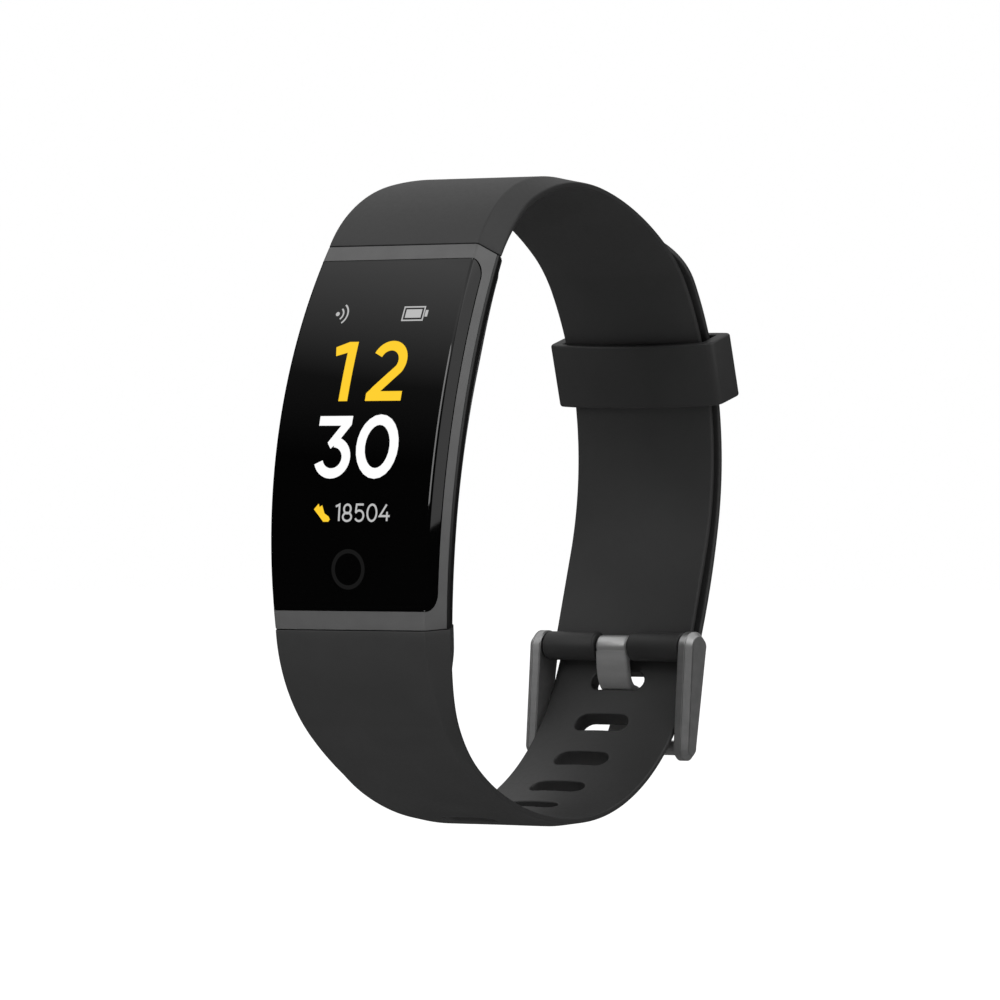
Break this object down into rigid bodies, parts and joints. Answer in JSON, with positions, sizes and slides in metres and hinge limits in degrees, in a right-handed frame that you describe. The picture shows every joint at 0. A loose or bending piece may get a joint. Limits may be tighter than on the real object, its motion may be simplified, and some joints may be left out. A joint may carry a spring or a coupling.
{
  "type": "fitness tracker band",
  "caption": "Fitness tracker wristband: curved glass module with a grey bezel on a black silicone strap, shut by a pin buckle and keeper loop.",
  "frame": {"origin": "centre of the wrist opening", "axes": "+X across the band, to the wearer's right when the display faces them; -Y out of the display; +Z towards the top of the display"},
  "size_m": [0.0202, 0.0521, 0.0596],
  "materials": {
    "glass": "polished black-backed cover glass",
    "bezel": "satin grey paint",
    "housing": "black, lightly polished",
    "seal": "matt",
    "film": "clear film",
    "display": "black glass stack",
    "board": "green solder mask",
    "chip": "moulded black",
    "steel": "fine turned",
    "foam": "foam",
    "battery": "foil pouch",
    "flex": "amber polyimide",
    "led": "clear green",
    "window": "polished, dark",
    "gold": "gold plated",
    "silicone": "satin, moulded",
    "keeper_silicone": "satin, moulded",
    "gunmetal": "polished dark steel"
  },
  "bodies": {
    "band": {"cover_glass": "glass", "bezel_frame": "bezel", "lower_housing": "housing", "housing_seal": "seal", "touch_film": "film", "display_panel": "display", "display_bracket": "housing", "main_board": "board", "processor_chip": "chip", "motion_sensor": "chip", "charging_chip": "chip", "antenna": "steel", "battery_pad": "foam", "battery": "battery", "vibration_motor_case": "steel", "sensor_flex": "flex", "sensor_board": "board", "sensor_led_lower": "led", "sensor_led_upper": "led", "sensor_photodiode": "chip", "sensor_light_barrier": "foam", "sensor_window": "window", "charging_plug": "housing", "plug_contact_1": "gold", "plug_contact_2": "gold", "plug_contact_3": "gold", "plug_contact_4": "gold", "upper_strap": "silicone", "upper_strap_pin": "steel", "lower_strap_bend": "silicone", "lower_strap": "silicone", "spring_bar_tube": "steel", "spring_bar_coil_left": "steel", "spring_bar_coil_right": "steel"},
    "motor_rotor": {"vibration_motor_rotor": "steel"},
    "strap_end": {"lower_strap_collar": "silicone", "lower_strap_socket": "housing"},
    "keeper_loop": {"keeper": "keeper_silicone"},
    "buckle": {"buckle_frame": "gunmetal"},
    "tongue": {"buckle_tongue": "gunmetal"},
    "tip_left": {"spring_bar_tip_left": "steel"},
    "tip_right": {"spring_bar_tip_right": "steel"}
  },
  "joints": [
    {"name": "keeper_slide", "type": "hinge", "parent": "band", "child": "keeper_loop", "pos_m": [0, -0.0046, 0.0041], "axis": [1, 0, 0], "range_deg": [-20, 10]},
    {"name": "buckle_swing", "type": "hinge", "parent": "band", "child": "buckle", "pos_m": [0, 0.0201, -0.01355], "axis": [1, 0, 0], "range_deg": [-1, 7]},
    {"name": "tongue_swing", "type": "hinge", "parent": "band", "child": "tongue", "pos_m": [0, 0.0201, -0.01355], "axis": [1, 0, 0], "range_deg": [-1, 7]},
    {"name": "spring_bar_tip_left_press", "type": "slide", "parent": "band", "child": "tip_left", "axis": [1, 0, 0], "range_m": [0, 0.001], "stiffness_N_per_m": 900, "springref_m": -0.0005, "deforming": ["spring_bar_coil_left"]},
    {"name": "spring_bar_tip_right_press", "type": "slide", "parent": "band", "child": "tip_right", "axis": [-1, 0, 0], "range_m": [0, 0.001], "stiffness_N_per_m": 900, "springref_m": -0.0005, "deforming": ["spring_bar_coil_right"]},
    {"name": "vibration_motor_spin", "type": "hinge", "parent": "band", "child": "motor_rotor", "pos_m": [0, -0.01679, -0.00254], "axis": [0, 0.972, -0.2351], "continuous": true},
    {"name": "lower_strap_release", "type": "slide", "parent": "band", "child": "strap_end", "axis": [0, 0.19, -0.9818], "range_m": [0, 0.0105], "deforming": ["lower_strap_bend"]}
  ],
  "couplings": [
    {"joint": "tongue_swing", "follows": "buckle_swing", "ratio": 1}
  ]
}
